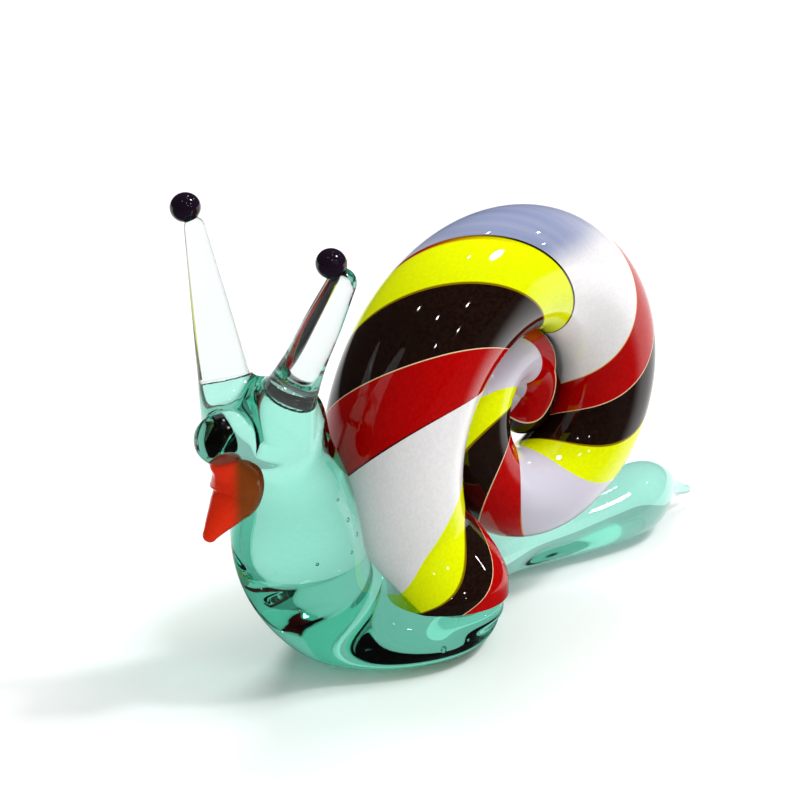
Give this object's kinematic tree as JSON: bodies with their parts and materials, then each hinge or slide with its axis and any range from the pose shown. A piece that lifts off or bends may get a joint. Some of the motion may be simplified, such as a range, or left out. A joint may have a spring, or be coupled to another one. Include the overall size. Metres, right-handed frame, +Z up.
{
  "type": "glass snail figurine",
  "caption": "Lampwork glass snail ornament: clear aqua body on a flat foot, twisted striped cane shell, clear tentacles with black bead eyes and a red mouth.",
  "frame": {"origin": "on the ground under the winding axis of the shell, in the middle plane of the body", "axes": "+Z up, the snail looks along -X, its left flank faces -Y"},
  "size_m": [0.0579, 0.0177, 0.0385],
  "materials": {
    "aqua_glass": "fire-polished transparent aqua glass",
    "clear_glass": "fire-polished clear glass",
    "red_glass": "fire-polished translucent red glass",
    "black_glass": "fire-polished opaque black glass",
    "white_cane": "fire-polished opal white glass",
    "yellow_cane": "fire-polished opaque lemon yellow glass",
    "black_cane": "fire-polished opaque black glass",
    "red_cane": "fire-polished opaque red glass"
  },
  "bodies": {
    "root": {"body": "aqua_glass", "mouth": "red_glass", "tentacle_left": "clear_glass", "tentacle_right": "clear_glass", "eye_left": "black_glass", "eye_right": "black_glass", "shell_white": "white_cane", "shell_yellow": "yellow_cane", "shell_black": "black_cane", "shell_red": "red_cane"}
  },
  "joints": []
}
